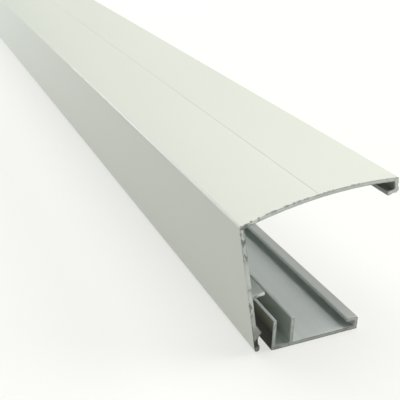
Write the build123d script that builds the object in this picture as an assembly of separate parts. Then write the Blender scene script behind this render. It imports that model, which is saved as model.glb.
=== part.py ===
from build123d import *
import os
from math import asin, cos, degrees, radians, sin, sqrt

# Two aluminium extrusions that make the front and the floor of a roller blind cassette.
# The cover leans over the base, and the two never touch: in use the end caps hold them.
# Millimetres. X runs across from the web of the cover to its hook, Y along the stock, Z up.

# Stock
stock_length = 1000.0

# Cover: size of its walls, in its own upright frame, from the sharp corner of web and top
cover_width = 74.5
web_height = 63.1
web_wall = 2.0
top_wall = 1.8
hook_wall = 2.0
cover_lean = 9.6

# Cover: the arched top and the fine groove along it
top_radius = 195.0
crown_from_web = 30.0
groove_from_web = 35.8
groove_width = 0.8
groove_depth = 0.2

# Cover: the hook along its far edge
hook_height = 7.0
hook_return = 5.7

# Cover: the small lip inside the web
lip_drop = 34.0
lip_reach = 5.6
lip_wall = 1.6

# Cover: the pointed nose, the neck and the round foot at the bottom of the web, all measured up from
# the bottom. The foot is widest at its shoulder and tapers a little towards its round end.
nose_rise = 8.1
nose_reach = 2.7
nose_flank = 5.7
undercut_radius = 2.2
foot_width = 2.5
foot_taper = 0.25
foot_shoulder = 2.6
foot_rise = 3.4
foot_radius = 1.05

# Base: plate, channel and turned-in edge; the outer wall of the channel is the taller one
base_width = 44.3
base_wall = 1.8
channel_width = 6.9
channel_outer_height = 15.1
channel_inner_height = 14.6
edge_height = 6.6
edge_return = 5.7

# Where the two pieces stand to each other
curtain_gap = 4.7
foot_lift = 1.5

# Rounds
corner_radius = 1.3
hook_radius = 1.6
hook_floor_radius = 0.8
edge_radius = 0.8
flank_radius = 4.5
neck_radius = 1.0
rim_radius = 0.5
inside_radius = 0.4
end_radius = 0.25


def strip(x0, y0, x1, y1):
    """A rectangle between two opposite corners."""
    return Pos((x0 + x1) / 2, (y0 + y1) / 2) * Rectangle(x1 - x0, y1 - y0)


def rounded(section, radius, *corners):
    """The section with the corners nearest to the given points rounded."""
    picked = [section.vertices().sort_by_distance(Vector(x, y))[0] for x, y in corners]
    return fillet(picked, radius)


def stock(section):
    """The section as a length of stock, half of it to each side of the middle."""
    return extrude(Plane.XZ * section, stock_length / 2, both=True)


# Cover section: the arch passes through the corner and its crown lies over the inside
arch_centre_y = -sqrt(top_radius**2 - crown_from_web**2)


def arch_y(x, depth=0.0):
    """Height of the arched top at a distance from the web, or of a face below it."""
    return arch_centre_y + sqrt((top_radius - depth) ** 2 - (x - crown_from_web) ** 2)


hook_inside_x = cover_width - hook_wall
hook_end_x = cover_width - hook_return
hook_bottom = arch_y(cover_width) - hook_height
hook_floor = hook_bottom + hook_wall
lip_end_x = web_wall + lip_reach
lip_bottom = -lip_drop - lip_wall
nose_x = web_wall + nose_reach
nose_y = nose_rise - web_height
nose_root = nose_y + nose_flank
foot_y = -web_height + foot_radius
foot_top = -web_height + foot_rise
shoulder_y = -web_height + foot_shoulder

arch = Pos(crown_from_web, arch_centre_y) * Circle(top_radius)
under_arch = Pos(crown_from_web, arch_centre_y) * Circle(top_radius - top_wall)
crown_y = arch_y(crown_from_web)

cover = arch & strip(0, hook_bottom, cover_width, crown_y)
cover -= under_arch & strip(web_wall, hook_bottom, hook_inside_x, crown_y)
cover += strip(hook_end_x, hook_bottom, cover_width, hook_floor)
cover += strip(0, -web_height, web_wall, hook_bottom)
cover += strip(0, lip_bottom, lip_end_x, -lip_drop)

# The nose slopes out of the web to a blunt point over the undercut
cover += make_face(Polyline(
    (0, nose_root), (web_wall, nose_root), (nose_x, nose_y), (0, nose_y), close=True,
))

# The neck widens over a sloping shoulder into the foot
cover += make_face(Polyline(
    (0, foot_top), (web_wall, foot_top), (foot_width, shoulder_y),
    (foot_width - foot_taper, -web_height), (0, -web_height), close=True,
))
cover = rounded(cover, foot_radius, (0, -web_height), (foot_width - foot_taper, -web_height))
cover = rounded(cover, undercut_radius, (web_wall, nose_y))
cover = rounded(cover, neck_radius, (web_wall, foot_top), (foot_width, shoulder_y))
cover = rounded(cover, flank_radius, (web_wall, nose_root))
cover = rounded(cover, corner_radius, (0, 0))
cover = rounded(cover, hook_radius, (cover_width, hook_bottom))
cover = rounded(cover, hook_floor_radius, (hook_inside_x, hook_floor))
cover = rounded(
    cover, inside_radius,
    (web_wall, arch_y(web_wall, top_wall)),
    (hook_inside_x, arch_y(hook_inside_x, top_wall)),
    (web_wall, -lip_drop), (web_wall, lip_bottom),
)
cover = rounded(
    cover, end_radius,
    (cover_width, arch_y(cover_width)),
    (hook_end_x, hook_bottom), (hook_end_x, hook_floor),
    (lip_end_x, -lip_drop), (lip_end_x, lip_bottom),
    (nose_x, nose_y),
)

# The groove follows the slope of the arch where it is cut
groove_tilt = -degrees(asin((groove_from_web - crown_from_web) / top_radius))
groove = make_face(Polyline(
    (-groove_width, groove_depth), (0, -groove_depth), (groove_width, groove_depth), close=True,
))
cover -= Pos(groove_from_web, arch_y(groove_from_web)) * Rot(0, 0, groove_tilt) * groove

# The cover leans about its corner, with its foot just clear of the floor
lean = radians(cover_lean)
corner_z = foot_lift + foot_radius * (1 - sin(lean)) - foot_y * cos(lean)
cover = Pos(0, corner_z) * Rot(0, 0, cover_lean) * cover

# Base section: the channel stands one curtain gap away from the nose of the cover
base_x0 = nose_x * cos(lean) - nose_y * sin(lean) + curtain_gap
base_x1 = base_x0 + base_width
channel_x0 = base_x0 + base_wall
channel_x1 = channel_x0 + channel_width
channel_end = channel_x1 + base_wall
edge_inside_x = base_x1 - base_wall
edge_end_x = base_x1 - edge_return
edge_under = edge_height - base_wall

base = strip(base_x0, 0, base_x1, base_wall)
base += strip(base_x0, 0, channel_x0, channel_outer_height)
base += strip(channel_x1, 0, channel_end, channel_inner_height)
base += strip(edge_inside_x, 0, base_x1, edge_height)
base += strip(edge_end_x, edge_under, base_x1, edge_height)

base = rounded(base, edge_radius, (base_x1, edge_height))
base = rounded(
    base, inside_radius,
    (base_x0, 0), (base_x1, 0),
    (channel_x0, base_wall), (channel_x1, base_wall), (channel_end, base_wall),
    (edge_inside_x, base_wall), (edge_inside_x, edge_under),
)
base = rounded(
    base, rim_radius,
    (base_x0, channel_outer_height), (channel_x0, channel_outer_height),
    (channel_x1, channel_inner_height), (channel_end, channel_inner_height),
)
base = rounded(base, end_radius, (edge_end_x, edge_under), (edge_end_x, edge_height))

# Both sections become stock, and the pair is centred over the origin
pieces = {"cover_profile": stock(cover), "base_profile": stock(base)}
middle = Compound(list(pieces.values())).bounding_box().center()

os.makedirs("parts", exist_ok=True)
for name, piece in pieces.items():
    export_step(Pos(-middle.X, -middle.Y, 0) * piece, f"parts/{name}.step")
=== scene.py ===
from math import asin, atan2, ceil, cos, pi, radians, sin, sqrt

import bpy
import numpy as np
from mathutils import Euler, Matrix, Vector, noise
from mathutils.geometry import delaunay_2d_cdt
from mathutils.kdtree import KDTree


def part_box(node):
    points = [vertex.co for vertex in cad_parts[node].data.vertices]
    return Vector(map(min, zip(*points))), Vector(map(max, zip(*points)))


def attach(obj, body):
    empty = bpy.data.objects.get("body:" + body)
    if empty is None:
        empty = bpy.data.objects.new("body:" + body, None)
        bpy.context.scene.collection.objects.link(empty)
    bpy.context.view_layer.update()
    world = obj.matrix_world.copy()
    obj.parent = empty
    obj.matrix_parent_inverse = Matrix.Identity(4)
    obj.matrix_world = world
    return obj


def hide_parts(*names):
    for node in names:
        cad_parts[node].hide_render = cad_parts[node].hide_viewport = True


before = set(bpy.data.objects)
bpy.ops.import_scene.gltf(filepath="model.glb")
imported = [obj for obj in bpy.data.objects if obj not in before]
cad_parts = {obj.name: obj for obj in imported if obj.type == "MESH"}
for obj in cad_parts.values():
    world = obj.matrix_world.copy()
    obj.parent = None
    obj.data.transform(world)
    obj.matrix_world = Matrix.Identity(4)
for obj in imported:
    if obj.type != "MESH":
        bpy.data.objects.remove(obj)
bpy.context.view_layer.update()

# Two aluminium extrusions that make the front and the floor of a roller blind cassette.
# The sections are drawn in millimetres and turned into metres when a mesh is made.
# X runs across, Y along the stock and Z up. The photographed cut is the end at low Y.
MM = 0.001

# ---- camera, fitted to the photo: metres, degrees, and millimetres for lens and sensor ----
CAMERA_PLACE = (-0.14966, -0.71245, 0.18707)
CAMERA_TURN = (64.907, -1.143, -23.618)
CAMERA_LENS = 63.13
CAMERA_SENSOR = 36.0
CAMERA_CLIP = (0.01, 50.0)

scene = bpy.context.scene
camera = bpy.data.objects.new("camera", bpy.data.cameras.new("camera"))
camera.data.lens = CAMERA_LENS
camera.data.sensor_width = CAMERA_SENSOR
camera.data.clip_start, camera.data.clip_end = CAMERA_CLIP
camera.location = CAMERA_PLACE
camera.rotation_euler = Euler([radians(a) for a in CAMERA_TURN], "XYZ")
scene.collection.objects.link(camera)
scene.camera = camera

# ---- sizes of the sections, the same as in the solids ----
COVER_WIDTH = 74.5
WEB_HEIGHT = 63.1
WEB_WALL = 2.0
TOP_WALL = 1.8
HOOK_WALL = 2.0
COVER_LEAN = radians(9.6)
TOP_RADIUS = 195.0
CROWN_FROM_WEB = 30.0
GROOVE_FROM_WEB = 35.8
GROOVE_HALF = 0.4
GROOVE_DEPTH = 0.2
HOOK_HEIGHT = 7.0
HOOK_RETURN = 5.7
LIP_DROP = 34.0
LIP_REACH = 5.6
LIP_WALL = 1.6
NOSE_DROP = WEB_HEIGHT - 8.1
NOSE_REACH = 2.7
NOSE_FLANK = 5.7
UNDERCUT_RADIUS = 2.2
FOOT_WIDTH = 2.5
FOOT_TAPER = 0.25
FOOT_SHOULDER = 2.6
FOOT_RISE = 3.4
FOOT_RADIUS = 1.05
BASE_WIDTH = 44.3
BASE_WALL = 1.8
CHANNEL_WIDTH = 6.9
CHANNEL_OUTER = 15.1
CHANNEL_INNER = 14.6
EDGE_HEIGHT = 6.6
EDGE_RETURN = 5.7
CORNER_RADIUS = 1.3
HOOK_RADIUS = 1.6
HOOK_FLOOR_RADIUS = 0.8
EDGE_RADIUS = 0.8
FLANK_RADIUS = 4.5
NECK_RADIUS = 1.0
RIM_RADIUS = 0.5
INSIDE_RADIUS = 0.4
END_RADIUS = 0.25

# How finely the arcs, the arches, the walls, the cuts and the length are divided
ARC_STEP = radians(12)
ARC_LEAST = 3
ARCH_STEP = 2.0
WALL_STEP = 0.40
CUT_STEP = 0.26
CUT_ROW_RATIO = 0.87
CUT_MARGIN = 0.16
NEAR_RINGS = (1.0, 6.0, 30.0)
LONG_PARTS = 8
SHARP_ANGLE = radians(32)

# The saw's marks, with depths measured in from the end: an even recess, chatter across the cut,
# lumps, and two sets of torn streaks that lean to either side of a wall (lean and seed of each)
CUT_RECESS = 0.13
CHATTER_ACROSS = 0.62
CHATTER_UP = 0.78
CHATTER_PITCH = 2.3
CHATTER_WANDER = 1.1
CHATTER_WANDER_SIZE = 6.0
CHATTER_DEPTH = 0.008
LUMP_SIZE = 1.6
LUMP_SEED = 5
LUMP_DEPTH = 0.015
STREAKS = ((0.22, 11.0), (-0.26, 23.0))
STREAK_ACROSS = 1.15
STREAK_ALONG = 0.22
STREAK_SIZE = 1.0
STREAK_DEPTH = 0.05

# From slow noise along the walls of a cut: where the saw has torn it into streaks, and where a
# line of painted shade runs along its edges. The flange is calm away from the web. The far end
# and the channel take their noise from another place, so that each has marks of its own
END_SHIFT = 37.0
TORN_SEED = 1110.7
TORN_SIZE = 13.0
TORN_RANGE = (-0.01, 0.09)
STREAK_RANGE = (0.10, 0.30)
LINE_SEED = 135.42
LINE_SIZE = 16.0
LINE_RANGE = (-0.08, 0.04)
LINE_DARK = 0.7
LINE_EDGE = (0.15, 0.45)
FLANGE_CALM = 0.85
FLANGE_FADE = (8.0, 16.0)
BASE_TORN = 0.6
CHANNEL_SHIFT = 26.0

# Chips along the edge of a cut: weight, seed and size of their noise, the share of a bend that
# they may take, the slope behind them, and how dark the coat frays where it has flaked
FLAKES = ((0.8, 3, 0.9), (1.0, 8, 2.4))
CHIP_SHARE = 0.35
BEVEL_LEAST = 0.08
BEVEL_SLOPE = 1.1
FRAY_DARK = 0.75
FRAY_RANGE = (0.06, 0.22)

# Finishes, for which each piece has materials of its own: coated, bare, near-black painted
# shade on the channel's outer wall, a brighter bare on the cover's lip and a darker one on the
# base's edge top, a darker bare as painted shade in the hook's pocket and the channel, and sawn
COAT, BARE, SLOT_SHADE, LIP_AND_EDGE_TOP, POCKET_SHADE, CUT = range(6)

arch_centre_y = -sqrt(TOP_RADIUS**2 - CROWN_FROM_WEB**2)


def arch_y(x, depth=0.0):
    """Height of the arched top at a distance from the web, or of a face below it."""
    return arch_centre_y + sqrt((TOP_RADIUS - depth) ** 2 - (x - CROWN_FROM_WEB) ** 2)


def arch_run(x0, x1, depth, finish):
    """Points of the arch strictly between two distances from the web."""
    count = ceil(abs(x1 - x0) / ARCH_STEP)
    xs = [x0 + (x1 - x0) * k / count for k in range(1, count)]
    return [(x, arch_y(x, depth), 0, finish) for x in xs]


def cover_corners():
    """The cover, upright, as corners (x, y, radius, finish of the wall that follows)."""
    hook_in = COVER_WIDTH - HOOK_WALL
    hook_end = COVER_WIDTH - HOOK_RETURN
    hook_low = arch_y(COVER_WIDTH) - HOOK_HEIGHT
    lip_end = WEB_WALL + LIP_REACH
    lip_low = -LIP_DROP - LIP_WALL

    # The V-groove, tilted with the arch that it is cut in
    tilt = -asin((GROOVE_FROM_WEB - CROWN_FROM_WEB) / TOP_RADIUS)
    valley = (GROOVE_FROM_WEB + GROOVE_DEPTH * sin(tilt),
              arch_y(GROOVE_FROM_WEB) - GROOVE_DEPTH * cos(tilt))
    groove_0, groove_1 = GROOVE_FROM_WEB - GROOVE_HALF, GROOVE_FROM_WEB + GROOVE_HALF

    corners = [(COVER_WIDTH, arch_y(COVER_WIDTH), END_RADIUS, COAT)]
    corners += arch_run(COVER_WIDTH, groove_1, 0, COAT)
    corners += [(groove_1, arch_y(groove_1), 0, COAT), (*valley, 0, COAT),
                (groove_0, arch_y(groove_0), 0, COAT)]
    corners += arch_run(groove_0, 0, 0, COAT)
    corners += [
        (0, 0, CORNER_RADIUS, COAT),
        (0, -WEB_HEIGHT, FOOT_RADIUS, COAT),
        (FOOT_WIDTH - FOOT_TAPER, -WEB_HEIGHT, FOOT_RADIUS, BARE),
        (FOOT_WIDTH, FOOT_SHOULDER - WEB_HEIGHT, NECK_RADIUS, BARE),
        (WEB_WALL, FOOT_RISE - WEB_HEIGHT, NECK_RADIUS, BARE),
        (WEB_WALL, -NOSE_DROP, UNDERCUT_RADIUS, BARE),
        (WEB_WALL + NOSE_REACH, -NOSE_DROP, END_RADIUS, BARE),
        (WEB_WALL, -NOSE_DROP + NOSE_FLANK, FLANK_RADIUS, BARE),
        (WEB_WALL, lip_low, INSIDE_RADIUS, BARE),
        (lip_end, lip_low, END_RADIUS, LIP_AND_EDGE_TOP),
        (lip_end, -LIP_DROP, END_RADIUS, LIP_AND_EDGE_TOP),
        (WEB_WALL, -LIP_DROP, INSIDE_RADIUS, BARE),
        (WEB_WALL, arch_y(WEB_WALL, TOP_WALL), INSIDE_RADIUS, BARE),
    ]
    corners += arch_run(WEB_WALL, hook_in, TOP_WALL, BARE)
    corners += [
        # The hook's pocket takes a darker bare aluminium as painted shade
        (hook_in, arch_y(hook_in, TOP_WALL), INSIDE_RADIUS, POCKET_SHADE),
        (hook_in, hook_low + HOOK_WALL, HOOK_FLOOR_RADIUS, POCKET_SHADE),
        (hook_end, hook_low + HOOK_WALL, END_RADIUS, BARE),
        (hook_end, hook_low, END_RADIUS, COAT),
        (COVER_WIDTH, hook_low, HOOK_RADIUS, COAT),
    ]
    return corners


def base_corners():
    """The base, its lower left corner at nought, as corners like those of the cover."""
    channel_0 = BASE_WALL
    channel_1 = channel_0 + CHANNEL_WIDTH
    channel_end = channel_1 + BASE_WALL
    edge_in = BASE_WIDTH - BASE_WALL
    edge_end = BASE_WIDTH - EDGE_RETURN
    edge_under = EDGE_HEIGHT - BASE_WALL
    return [
        (0, 0, INSIDE_RADIUS, BARE),
        (BASE_WIDTH, 0, INSIDE_RADIUS, BARE),
        (BASE_WIDTH, EDGE_HEIGHT, EDGE_RADIUS, LIP_AND_EDGE_TOP),
        (edge_end, EDGE_HEIGHT, END_RADIUS, BARE),
        (edge_end, edge_under, END_RADIUS, BARE),
        (edge_in, edge_under, INSIDE_RADIUS, BARE),
        (edge_in, BASE_WALL, INSIDE_RADIUS, BARE),
        (channel_end, BASE_WALL, INSIDE_RADIUS, BARE),
        (channel_end, CHANNEL_INNER, RIM_RADIUS, BARE),
        # The inside of the channel takes a darker, greener bare aluminium as painted shade
        (channel_1, CHANNEL_INNER, RIM_RADIUS, POCKET_SHADE),
        (channel_1, BASE_WALL, INSIDE_RADIUS, POCKET_SHADE),
        (channel_0, BASE_WALL, INSIDE_RADIUS, POCKET_SHADE),
        (channel_0, CHANNEL_OUTER, RIM_RADIUS, BARE),
        # The outer wall of the channel takes near-black painted shade, for the narrow slot
        # beside it
        (0, CHANNEL_OUTER, RIM_RADIUS, SLOT_SHADE),
    ]


def traced(corners):
    """Outline points, the finish of the wall after each, and the radius of the arc it is on."""
    points, finishes, bends = [], [], []
    for k, (x, y, radius, finish) in enumerate(corners):
        here = Vector((x, y))
        last_finish = corners[k - 1][3]
        if not radius:
            points.append(here)
            finishes.append(finish)
            bends.append(CORNER_RADIUS)
            continue
        to_last = (Vector(corners[k - 1][:2]) - here).normalized()
        to_next = (Vector(corners[(k + 1) % len(corners)][:2]) - here).normalized()
        half = to_last.angle(to_next) / 2
        centre = here + (to_last + to_next).normalized() * (radius / sin(half))
        reach = radius * cos(half) / sin(half)
        start = here + to_last * reach - centre
        end = here + to_next * reach - centre
        turn = (atan2(end.y, end.x) - atan2(start.y, start.x) + pi) % (2 * pi) - pi
        steps = max(ARC_LEAST, ceil(abs(turn) / ARC_STEP))
        first = atan2(start.y, start.x)
        for s in range(steps + 1):
            angle = first + turn * s / steps
            points.append(centre + radius * Vector((cos(angle), sin(angle))))
            finishes.append(last_finish if s < steps / 2 else finish)
            bends.append(radius)
    return points, finishes, bends


def divided(points, finishes, bends):
    """The outline with its long walls divided, as arrays."""
    out, kinds, curves = [], [], []
    for k, here in enumerate(points):
        there = points[(k + 1) % len(points)]
        parts = max(1, ceil((there - here).length / WALL_STEP))
        for s in range(parts):
            out.append(here.lerp(there, s / parts))
            kinds.append(finishes[k])
            curves.append(bends[k] if s == 0 else CORNER_RADIUS)
    return np.array([tuple(p) for p in out]), np.array(kinds), np.array(curves)


def outward(points):
    """Unit normals that point out of a counterclockwise outline."""
    along = np.roll(points, -1, 0) - np.roll(points, 1, 0)
    along /= np.linalg.norm(along, axis=1)[:, None]
    return np.c_[along[:, 1], -along[:, 0]]


def ramp(value, start, end):
    """Nought at the start and before it, one at the end and beyond it."""
    return min(1.0, max(0.0, (value - start) / (end - start)))


def wander(x, y, z, size):
    """Smooth noise between about -1 and 1 with features of a size in millimetres."""
    return noise.noise(Vector((x, y, z)) / size)


def cover_walls(x, y):
    """Place along and across the wall of the upright cover at a point, and how torn it is."""
    if x > WEB_WALL and -LIP_DROP - 2 * LIP_WALL < y < -LIP_DROP + LIP_WALL:
        return x, -LIP_DROP - y, 1.0
    if x < WEB_WALL + NOSE_REACH and y < -TOP_WALL:
        return y, x, 1.0
    return x, arch_y(x) - y, 1.0 - FLANGE_CALM * ramp(x, *FLANGE_FADE)


def base_walls(x, y):
    """Place along and across the wall of the base at a point, and how torn it is."""
    return (x, y, BASE_TORN) if y < BASE_WALL else (y + CHANNEL_SHIFT, x, BASE_TORN)


def cut_marks(x, z, along, across, torn, end):
    """Recess in millimetres and darkness of the saw's marks at a point of a cut."""
    shift = END_SHIFT * end
    waver = CHATTER_WANDER * wander(x, z, shift, CHATTER_WANDER_SIZE)
    chatter = sin(2 * pi * (x * CHATTER_ACROSS + z * CHATTER_UP + waver) / CHATTER_PITCH)
    lumps = wander(x, z, shift + LUMP_SEED, LUMP_SIZE)
    gate = ramp(wander(along, 0.0, shift + TORN_SEED, TORN_SIZE), *TORN_RANGE)
    dark = 0.0
    for lean, seed in STREAKS:
        streak = wander((across + lean * along) * STREAK_ACROSS, along * STREAK_ALONG,
                        shift + seed, STREAK_SIZE)
        dark = max(dark, ramp(streak, *STREAK_RANGE) * gate * torn)
    recess = CUT_RECESS + CHATTER_DEPTH * chatter + LUMP_DEPTH * lumps + STREAK_DEPTH * dark
    return recess, dark


def edge_shade_line(along, distance, end):
    """Painted shade in a line that follows an edge of a cut, in some places only."""
    gate = ramp(wander(along, 0.0, END_SHIFT * end + LINE_SEED, LINE_SIZE), *LINE_RANGE)
    return LINE_DARK * gate * (1 - ramp(distance, *LINE_EDGE))


def chipped(outline, kinds, room, end, unplace, bite):
    """How deep the edge of a cut is chipped at each outline point, and how dark it frays."""
    chips, frays = [], []
    for (x, z), kind in zip(outline, kinds):
        flake = sum(weight * wander(x, z, seed + end, size) for weight, seed, size in FLAKES)
        least, more = bite(kind, *unplace(x, z))
        flaked = more * max(0.0, flake)
        chips.append(least + flaked)
        frays.append(FRAY_DARK * ramp(flaked, *FRAY_RANGE))
    return np.minimum(chips, room), frays


def filled(rim):
    """Points on a grid inside a rim, row by row, clear of its walls, and how far from it."""
    tree = KDTree(len(rim))
    for k, (x, y) in enumerate(rim.tolist()):
        tree.insert((x, y, 0), k)
    tree.balance()
    a, b = rim, np.roll(rim, -1, 0)
    low_y, high_y = rim[:, 1].min(), rim[:, 1].max()
    grid, clear = [], []
    for row in range(ceil((high_y - low_y) / (CUT_STEP * CUT_ROW_RATIO))):
        y = low_y + (row + 0.5) * CUT_STEP * CUT_ROW_RATIO
        hit = (a[:, 1] > y) != (b[:, 1] > y)
        xs = np.sort(a[hit, 0] + (y - a[hit, 1]) * (b[hit, 0] - a[hit, 0])
                     / (b[hit, 1] - a[hit, 1]))
        for x0, x1 in zip(xs[::2], xs[1::2]):
            first = ceil(x0 / CUT_STEP) + (row % 2) / 2
            for k in range(max(0, int((x1 - x0) / CUT_STEP) + 1)):
                x = (first + k) * CUT_STEP
                distance = tree.find((x, y, 0))[2]
                if x < x1 and distance > CUT_MARGIN:
                    grid.append((x, y))
                    clear.append(distance)
    return grid, clear


def cut_mesh(rim):
    """Inner points, their distances from the rim, and triangles of a cut face."""
    grid, clear = filled(rim)
    everything = [Vector(p) for p in rim.tolist() + grid]
    edges = [(k, (k + 1) % len(rim)) for k in range(len(rim))]
    _, _, faces, origin, _, _ = delaunay_2d_cdt(everything, edges, [], 1, 1e-5)
    return grid, clear, [[origin[v][0] for v in face] for face in faces]


def stock_piece(name, node, corners, place, unplace, walls, darkening, bite, finishes):
    """One extrusion as a closed mesh, with a sawn and slightly chipped cut at each end."""
    points, kinds, bends = divided(*traced(corners))
    points = np.array([place(x, y) for x, y in points.tolist()])
    normals = outward(points)
    outline, count = points.tolist(), len(points)
    slots = {finish: slot for slot, finish in enumerate(finishes)}

    # Each end as its number, its place along the stock and the way into the stock
    low, high = (corner[1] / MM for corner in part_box(node))
    ends = (0, low, 1), (1, high, -1)

    gaps = np.hypot(*(points[:, None] - points[None]).transpose(2, 0, 1))
    room = (CHIP_SHARE * bends[None] + CHIP_SHARE * gaps).min(1)

    verts, darkness, rings = [], [], []
    plain = [0.0] * count

    def marks(x, z, end, distance=0.0):
        """Recess and darkness of a cut, with painted shade near its edge, at a point that lies
        so far from its edge.
        """
        along, across, torn = walls(*unplace(x, z))
        recess, dark = cut_marks(x, z, along, across, torn, end)
        return recess, max(dark, edge_shade_line(along, distance, end))

    def edge_rings(end, edge, way):
        """The rim of a cut and the ring behind its chips, each as add_ring takes it."""
        recess, dark = zip(*(marks(x, z, end) for x, z in outline))
        chips, frays = chipped(outline, kinds, room, end, unplace, bite)
        bevel = BEVEL_LEAST + BEVEL_SLOPE * chips
        rim_ys = [edge + way * r for r in recess]
        behind_ys = [edge + way * (r + b) for r, b in zip(recess, bevel)]
        rim_dark = [max(pair) for pair in zip(dark, frays)]
        return (rim_ys, chips, rim_dark), (behind_ys, plain, frays)

    def add_ring(ys, insets, dark):
        """Adds the outline at places along the stock, drawn in, and returns it as drawn in."""
        drawn_in = points - normals * np.array(insets)[:, None]
        rings.append(len(verts))
        verts.extend((x, y, z) for (x, z), y in zip(drawn_in.tolist(), ys))
        darkness.extend(dark)
        return drawn_in

    near, far = (edge_rings(*end) for end in ends)
    inner = NEAR_RINGS[-1]
    along_stock = [low + y for y in NEAR_RINGS]
    along_stock += [low + inner + (high - low - 2 * inner) * part / LONG_PARTS
                    for part in range(1, LONG_PARTS)]
    along_stock += [high - y for y in reversed(NEAR_RINGS)]

    rims = [add_ring(*near[0])]
    add_ring(*near[1])
    for y in along_stock:
        add_ring([y] * count, plain, plain)
    add_ring(*far[1])
    rims.append(add_ring(*far[0]))

    faces, mats = [], []
    for r, (first, second) in enumerate(zip(rings, rings[1:])):
        bevelled = r in (0, len(rings) - 2)
        for k in range(count):
            n = (k + 1) % count
            faces.append((first + k, second + k, second + n, first + n))
            mats.append(slots[CUT if bevelled else kinds[k]])

    for (end, edge, way), rim, rim_start in zip(ends, rims, (rings[0], rings[-1])):
        grid, clear, triangles = cut_mesh(rim)
        grid_start = len(verts)
        recess, dark = zip(*(marks(x, z, end, gap) for (x, z), gap in zip(grid, clear)))
        verts.extend((x, edge + way * r, z) for (x, z), r in zip(grid, recess))
        darkness.extend(dark)
        for face in triangles:
            ids = [rim_start + v if v < count else grid_start + v - count for v in face]
            faces.append(ids[::way])
            mats.append(slots[CUT])

    mesh = bpy.data.meshes.new(name)
    mesh.from_pydata([(x * MM, y * MM, z * MM) for x, y, z in verts], [], faces)
    mesh.polygons.foreach_set("material_index", mats)
    # The mark layer carries painted shade along the edges of the cuts, and the darkening layer
    # painted shade along the base's lower edge
    for layer, values in (("mark_and_shade", darkness),
                          ("darkening", [darkening(*unplace(x, z)) for x, _, z in verts])):
        mesh.attributes.new(layer, "FLOAT", "POINT").data.foreach_set("value", values)
    for material in finishes.values():
        mesh.materials.append(material)
    mesh.validate()
    mesh.shade_smooth()
    mesh.set_sharp_from_angle(angle=SHARP_ANGLE)
    piece = bpy.data.objects.new(name, mesh)
    scene.collection.objects.link(piece)
    return piece


# ---- placing the sections ----
cover_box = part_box("cover_profile")
base_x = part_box("base_profile")[0][0] / MM

# The cover leans about its sharp corner, and its outline touches the right and top of its box
upright = divided(*traced(cover_corners()))[0]
leant_x = upright[:, 0] * cos(COVER_LEAN) - upright[:, 1] * sin(COVER_LEAN)
leant_z = upright[:, 0] * sin(COVER_LEAN) + upright[:, 1] * cos(COVER_LEAN)
corner_x = cover_box[1][0] / MM - leant_x.max()
corner_z = cover_box[1][2] / MM - leant_z.max()


def place_cover(x, y):
    """From the upright section to X and Z of the leaning cover."""
    return (corner_x + x * cos(COVER_LEAN) - y * sin(COVER_LEAN),
            corner_z + x * sin(COVER_LEAN) + y * cos(COVER_LEAN))


def unplace_cover(x, z):
    """From X and Z of the leaning cover back to the upright section."""
    x, z = x - corner_x, z - corner_z
    return (x * cos(COVER_LEAN) + z * sin(COVER_LEAN),
            z * cos(COVER_LEAN) - x * sin(COVER_LEAN))


def place_base(x, y):
    """From the base section to its X and Z."""
    return (base_x + x, y)


def unplace_base(x, z):
    """From X and Z of the base back to its section."""
    return (x - base_x, z)


# ---- darkening, painted shade and chips, by place in the section ----
# The cover's cut: an even darkening on the top, on the web and more low down, and below the
# nose a dark patch, which is lighter inside the foot than at its rim
TOP_DARKENING = 0.15
WEB_DARKENING = 0.20
LOW_DARKENING = 0.42
LOW_DARKENING_RANGE = (-43.0, -53.0)
DARK_PATCH_TOP = -55.6
DARK_PATCH_SLOPE = 0.95
DARK_PATCH_SOFT = 0.4
FOOT_RANGE = (-60.2, -61.0)
FOOT_LIGHT = 0.22
FOOT_RIM_DARK = 0.18
FOOT_RIM_MIDDLE = -62.0
FOOT_RIM_SLOPE = 0.9
FOOT_RIM_RANGE = (2.1, 3.0)

# The base's cut: an even darkening on the plate and up the channel, and painted shade along the
# plate's lower edge, where it meets the floor
PLATE_DARKENING = 0.48
CHANNEL_DARKENING = 0.46
CHANNEL_DARKENING_LOSS = 0.20
CHANNEL_DARKENING_RANGE = (3.0, 13.0)
# Painted shade where the plate's lower edge meets the floor
EDGE_CONTACT_SHADE = 0.72
EDGE_CONTACT_SHADE_RANGE = (0.75, 0.30)

# Least bite and flaking of the chips, in the coat, in the web's middle and in bare metal
COAT_BITE = (0.04, 0.95)
WEB_MIDDLE_BITE = (0.30, 0.30)
WEB_MIDDLE = (-37.0, -17.0)
COVER_BARE_BITE = (0.03, 0.10)
BASE_BARE_BITE = (0.03, 0.12)


def cover_darkening(x, y):
    """Darkening of the cover's cut: even, stronger down the web, and a dark patch on neck and
    foot.
    """
    if y > -LIP_DROP / 2 and (x > WEB_WALL or y > -TOP_WALL):
        return TOP_DARKENING
    if x > WEB_WALL and y > -LIP_DROP - 2 * LIP_WALL:
        return 0.0
    level = WEB_DARKENING + LOW_DARKENING * ramp(y, *LOW_DARKENING_RANGE)
    dark_patch_top = DARK_PATCH_TOP - DARK_PATCH_SLOPE * (WEB_WALL - x)
    dark_patch = ramp(y, dark_patch_top + DARK_PATCH_SOFT, dark_patch_top - DARK_PATCH_SOFT)
    foot = ramp(y, *FOOT_RANGE)
    rim = ramp(x - FOOT_RIM_SLOPE * (y - FOOT_RIM_MIDDLE), *FOOT_RIM_RANGE)
    return max(level, dark_patch * (1.0 - foot * (FOOT_LIGHT - FOOT_RIM_DARK * rim)))


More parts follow.
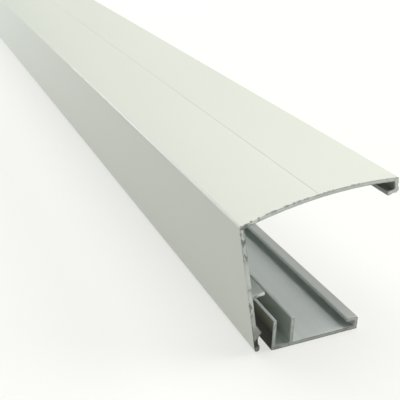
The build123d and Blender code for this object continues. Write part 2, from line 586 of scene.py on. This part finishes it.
def base_darkening_and_shade(x, y):
    """Darkening of the base's cut: even all over, with painted shade along the lower edge of
    the plate.
    """
    level = PLATE_DARKENING
    if y > BASE_WALL:
        level = CHANNEL_DARKENING - CHANNEL_DARKENING_LOSS * ramp(y, *CHANNEL_DARKENING_RANGE)
    # Painted shade along the plate's lower edge, where it meets the floor
    return max(level, EDGE_CONTACT_SHADE * ramp(y, *EDGE_CONTACT_SHADE_RANGE))


def cover_bite(kind, x, y):
    """Least bite and flaking of the chips along the cover's cut, most of them in its coat."""
    if kind != COAT:
        return COVER_BARE_BITE
    in_middle = x < WEB_WALL and WEB_MIDDLE[0] < y < WEB_MIDDLE[1]
    return WEB_MIDDLE_BITE if in_middle else COAT_BITE


def base_bite(kind, x, y):
    """Least bite and flaking of the chips along the base's cut, the same all round."""
    return BASE_BARE_BITE


# ---- materials ----
# The painted shade on the channel's outer wall gives way to painted light towards the wall's
# top, most of all near the end at low Y. Both ranges are in metres
PAINTED_LIGHT_HEIGHT = (0.0088, 0.0150)
PAINTED_LIGHT_FROM_END = (-0.495, -0.455)
PAINTED_LIGHT_LEFT = 0.15


def add(tree, kind, inputs=(), **settings):
    """A node with its settings, and with its sockets set or linked."""
    made = tree.nodes.new("ShaderNode" + kind)
    for key, value in settings.items():
        setattr(made, key, value)
    for key, value in dict(inputs).items():
        if isinstance(value, bpy.types.NodeSocket):
            tree.links.new(value, made.inputs[key])
        else:
            made.inputs[key].default_value = value
    return made


class Surface:
    """A material under construction, with the few nodes that all of them use."""

    def __init__(self, name):
        self.material = bpy.data.materials.new(name)
        self.material.use_nodes = True
        self.tree = self.material.node_tree
        self.shader = self.tree.nodes["Principled BSDF"]
        self.place = add(self.tree, "TexCoord").outputs["Object"]

    def grain(self, scale, detail=3.0, rough=0.55, shift=0.0, distortion=0.0):
        """Noise with so many features per millimetre along X, Y and Z, moved by a shift."""
        moved = add(self.tree, "Mapping", {
            "Vector": self.place,
            "Location": (shift, shift * 1.7, shift * 0.6),
            "Scale": tuple(s / MM for s in scale),
        })
        return add(self.tree, "TexNoise", {
            "Vector": moved.outputs["Vector"], "Scale": 1.0, "Detail": detail,
            "Roughness": rough, "Distortion": distortion,
        }).outputs["Fac"]

    def ranged(self, value, low, high, to_low=0.0, to_high=1.0):
        """A value taken from one range to another and kept within it."""
        return add(self.tree, "MapRange", {
            "Value": value, "From Min": low, "From Max": high,
            "To Min": to_low, "To Max": to_high,
        }).outputs["Result"]

    def math(self, kind, a, b):
        """Two values put together by a Math node."""
        return add(self.tree, "Math", {0: a, 1: b}, operation=kind).outputs[0]

    def mixed(self, factor, a, b):
        """Colour a at factor nought, colour b at one."""
        return add(self.tree, "Mix", {0: factor, 6: a, 7: b}, data_type="RGBA").outputs[2]

    def bump(self, height, strength, distance, normal=None):
        """Normals for a height, on top of the normals of a wider bump if there is one."""
        inputs = {"Height": height, "Strength": strength, "Distance": distance}
        if normal:
            inputs["Normal"] = normal
        return add(self.tree, "Bump", inputs).outputs["Normal"]

    def set(self, **sockets):
        """Sets or links the shader's sockets, named with _ for a space."""
        for key, value in sockets.items():
            socket = self.shader.inputs[key.replace("_", " ")]
            if isinstance(value, bpy.types.NodeSocket):
                self.tree.links.new(value, socket)
            else:
                socket.default_value = value


def coated():
    """Smooth near-white powder coat: orange peel, slight unevenness and a little dust."""
    s = Surface("white_coat")
    clouds = s.grain((0.012, 0.004, 0.012), 2.0, shift=3.0)
    specks = s.ranged(s.grain((1.1, 1.1, 1.1), 1.0, shift=5.0), 0.76, 0.84)
    hairs = s.ranged(s.grain((3.0, 0.02, 3.0), 1.0, shift=11.0), 0.70, 0.95)
    colour = s.mixed(clouds, (0.520, 0.534, 0.468, 1), (0.546, 0.558, 0.498, 1))
    colour = s.mixed(s.math("MULTIPLY", specks, 0.12), colour, (0.32, 0.32, 0.28, 1))
    colour = s.mixed(s.math("MULTIPLY", hairs, 0.05), colour, (0.44, 0.46, 0.42, 1))
    peel = s.grain((0.75, 0.75, 0.75), 2.0, shift=1.0)
    fine = s.grain((4.0, 4.0, 4.0), 2.0, shift=2.0)
    normal = s.bump(fine, 0.10, 0.00001, s.bump(peel, 0.25, 0.00004))
    s.set(Base_Color=colour, Normal=normal, Roughness=s.ranged(clouds, 0, 1, 0.26, 0.36),
          Specular_IOR_Level=0.25)
    return s.material


def drawn(name, light, dull, shade, metallic, specular=0.5, painted_light=None):
    """Extruded aluminium as it leaves the die: lines along it, faint stains, and maybe painted
    light.
    """
    s = Surface(name)
    lines = s.grain((1.6, 0.0016, 1.6), 4.0, 0.65, shift=4.0)
    bands = s.grain((0.16, 0.0011, 0.16), 2.0, shift=7.0)
    stains = s.ranged(s.grain((0.05, 0.02, 0.05), 4.0, 0.6, shift=9.0), 0.35, 0.70)
    colour = s.mixed(s.ranged(bands, 0.3, 0.7), dull, light)
    colour = s.mixed(s.math("MULTIPLY", s.ranged(lines, 0.35, 0.65), 0.25), colour, shade)
    colour = s.mixed(s.math("MULTIPLY", stains, 0.15), colour, shade)
    # Painted light: lighter towards the top of the wall and near the end at low Y, where light
    # gets into the slot
    if painted_light:
        place = add(s.tree, "SeparateXYZ", {0: s.place}).outputs
        reach = s.math("MULTIPLY", s.ranged(place[2], *PAINTED_LIGHT_HEIGHT),
                       s.ranged(place[1], *PAINTED_LIGHT_FROM_END, 1.0, PAINTED_LIGHT_LEFT))
        colour = s.mixed(reach, colour, painted_light)
    rough = s.math("ADD", s.ranged(lines, 0.3, 0.7, 0.30, 0.42),
                   s.ranged(stains, 0, 1, 0.0, 0.06))
    normal = s.bump(lines, 0.35, 0.00002)
    s.set(Base_Color=colour, Normal=normal, Roughness=rough, Metallic=metallic,
          Specular_IOR_Level=specular)
    return s.material


def sawn():
    """Sawn aluminium: light ground, dark torn streaks with painted shade along the edges, and
    darkening, with painted shade along the base's lower edge.
    """
    s = Surface("sawn_aluminium")
    mark_and_shade = add(s.tree, "Attribute", attribute_name="mark_and_shade").outputs["Fac"]
    darkening = add(s.tree, "Attribute", attribute_name="darkening").outputs["Fac"]
    patches = s.grain((0.28, 0.28, 0.28), 3.0, 0.6, shift=6.0, distortion=0.5)
    fine = s.grain((3.2, 3.2, 3.2), 2.0, 0.6, shift=8.0)
    colour = s.mixed(s.ranged(patches, 0.35, 0.65), (0.62, 0.66, 0.61, 1),
                     (0.74, 0.79, 0.73, 1))
    colour = s.mixed(s.ranged(fine, 0.45, 0.75, 0.0, 0.25), colour, (0.40, 0.41, 0.39, 1))
    # The mark layer darkens the torn streaks and frayed coat, and adds painted shade in a line
    # along the edges
    colour = s.mixed(s.math("MULTIPLY", mark_and_shade, 0.80), colour, (0.13, 0.135, 0.12, 1))
    # The darkening layer darkens the cut, with painted shade along the base's lower edge
    colour = s.mixed(darkening, colour, (0.026, 0.027, 0.020, 1))
    rough = s.ranged(patches, 0.3, 0.7, 0.55, 0.40)
    normal = s.bump(fine, 0.15, 0.00002, s.bump(patches, 0.2, 0.00005))
    s.set(Base_Color=colour, Normal=normal, Roughness=rough, Metallic=0.35)
    return s.material


coat, cut = coated(), sawn()
dull_bare = drawn("dull_aluminium", (0.41, 0.43, 0.40, 1), (0.36, 0.385, 0.355, 1),
                  (0.29, 0.31, 0.285, 1), 0.50)
# Painted shade: a darker copy of the dull aluminium for the hook's pocket
pocket_shade_bare = drawn("hook_pocket_shaded_aluminium", (0.41, 0.43, 0.40, 1), (0.35, 0.37, 0.345, 1),
                  (0.28, 0.30, 0.275, 1), 0.50)
bright_bare = drawn("bare_aluminium", (0.69, 0.72, 0.70, 1), (0.62, 0.66, 0.64, 1),
                    (0.49, 0.53, 0.51, 1), 0.45)
edge_top_bare = drawn("edge_top_aluminium", (0.52, 0.53, 0.50, 1), (0.455, 0.465, 0.435, 1),
                  (0.37, 0.38, 0.35, 1), 0.45)
# Painted shade: a darker, greener copy of the bare aluminium for the inside of the channel
channel_shade_bare = drawn("channel_shaded_aluminium", (0.59, 0.63, 0.59, 1), (0.53, 0.57, 0.53, 1),
                   (0.43, 0.48, 0.44, 1), 0.50)
# Painted shade: near-black for the channel's outer wall in its narrow slot, with painted light
# towards its top and near the end at low Y
slot_shade_bare = drawn("slot_shaded_aluminium", (0.030, 0.034, 0.018, 1), (0.022, 0.025, 0.012, 1),
                (0.012, 0.014, 0.007, 1), 0.15, 0.05, (0.26, 0.255, 0.20, 1))

for name, node, slot, corners, shape, finishes in (
    ("cover_stock", "cover_profile", "coated_aluminium", cover_corners(),
     (place_cover, unplace_cover, cover_walls, cover_darkening, cover_bite),
     {COAT: coat, BARE: dull_bare, LIP_AND_EDGE_TOP: bright_bare, POCKET_SHADE: pocket_shade_bare, CUT: cut}),
    ("base_stock", "base_profile", "mill_aluminium", base_corners(),
     (place_base, unplace_base, base_walls, base_darkening_and_shade, base_bite),
     {BARE: bright_bare, SLOT_SHADE: slot_shade_bare, LIP_AND_EDGE_TOP: edge_top_bare, POCKET_SHADE: channel_shade_bare, CUT: cut}),
):
    piece = stock_piece(name, node, corners, *shape, finishes)
    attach(piece, "root")
    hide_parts(node)

# ---- floor ----
# The floor glows a little, so that it stays as pale as in the photo beside the object
FLOOR_HALF = 6.0
FLOOR_WHITE = 0.22
FLOOR_FIBRE = 0.98
FLOOR_GLOW = 0.64

floor_mesh = bpy.data.meshes.new("floor")
floor_mesh.from_pydata(
    [(x * FLOOR_HALF, y * FLOOR_HALF, 0) for x, y in ((-1, -1), (1, -1), (1, 1), (-1, 1))],
    [], [(0, 1, 2, 3)])
floor = bpy.data.objects.new("floor", floor_mesh)
scene.collection.objects.link(floor)
paper = Surface("pale_floor")
fibre = paper.grain((0.4, 0.4, 0.4), 3.0)
paper.set(Base_Color=paper.mixed(fibre, (FLOOR_WHITE * FLOOR_FIBRE,) * 3 + (1,),
                                 (FLOOR_WHITE,) * 3 + (1,)),
          Roughness=0.9, Specular_IOR_Level=0.0,
          Normal=paper.bump(fibre, 0.05, 0.00005),
          Emission_Color=(1.0, 0.995, 0.95, 1), Emission_Strength=FLOOR_GLOW)
floor_mesh.materials.append(paper.material)

# ---- light ----
# Strength of the faint light from each side of the studio, as axis, half of it and strength
STUDIO = (
    (0, "MAXIMUM", 0.02),
    (0, "MINIMUM", 0.02),
    (1, "MAXIMUM", 0.06),
    (1, "MINIMUM", 0.02),
    (2, "MAXIMUM", 0.02),
)
world = bpy.data.worlds.new("studio")
scene.world = world
world.use_nodes = True
sky = world.node_tree
directions = add(sky, "SeparateXYZ", {0: add(sky, "TexCoord").outputs["Generated"]}).outputs
total = 0.0
for axis, half, strength in STUDIO:
    part = add(sky, "Math", {0: directions[axis], 1: 0.0}, operation=half).outputs[0]
    square = add(sky, "Math", {0: part, 1: part}, operation="MULTIPLY").outputs[0]
    share = add(sky, "Math", {0: square, 1: strength}, operation="MULTIPLY").outputs[0]
    total = add(sky, "Math", {0: total, 1: share}, operation="ADD").outputs[0]
ambient = sky.nodes["Background"]
ambient.inputs["Color"].default_value = (0.84, 1.0, 0.94, 1)
sky.links.new(total, ambient.inputs["Strength"])

# Seen past the floor's edge, the studio is a plain pale backdrop
backdrop = add(sky, "Background", {"Color": (0.97, 0.97, 0.95, 1), "Strength": 1.0})
shown = add(sky, "MixShader", {0: add(sky, "LightPath").outputs["Is Camera Ray"],
                               1: ambient.outputs[0], 2: backdrop.outputs[0]})
sky.links.new(shown.outputs[0], sky.nodes["World Output"].inputs["Surface"])

# Soft lights far away: name, strength, width and turn in degrees
for name, strength, width, turn in (
    ("overhead", 2.92, 60, (-16.0, 0.0, 0.0)),
    ("behind", 0.55, 60, (-40.0, 0.0, 0.0)),
    ("right", 4.10, 50, (6.0, 64.0, 0.0)),
):
    lamp = bpy.data.objects.new(name, bpy.data.lights.new(name, "SUN"))
    lamp.data.energy = strength
    lamp.data.angle = radians(width)
    lamp.rotation_euler = Euler([radians(a) for a in turn], "XYZ")
    scene.collection.objects.link(lamp)

# A cool window beyond the far end, on the left
WINDOW_PLACE = Vector((-0.80, 0.90, 0.38))
WINDOW_AIM = Vector((-0.03, 0.10, 0.03))
WINDOW_SIZE = 0.8
WINDOW_POWER = 13.5
WINDOW_COLOUR = (0.86, 0.96, 1.0)

window = bpy.data.objects.new("window", bpy.data.lights.new("window", "AREA"))
window.data.shape = "SQUARE"
window.data.size = WINDOW_SIZE
window.data.energy = WINDOW_POWER
window.data.color = WINDOW_COLOUR
window.location = WINDOW_PLACE
window.rotation_euler = (WINDOW_AIM - WINDOW_PLACE).to_track_quat("-Z", "Y").to_euler()
scene.collection.objects.link(window)

scene.view_settings.view_transform = "Standard"
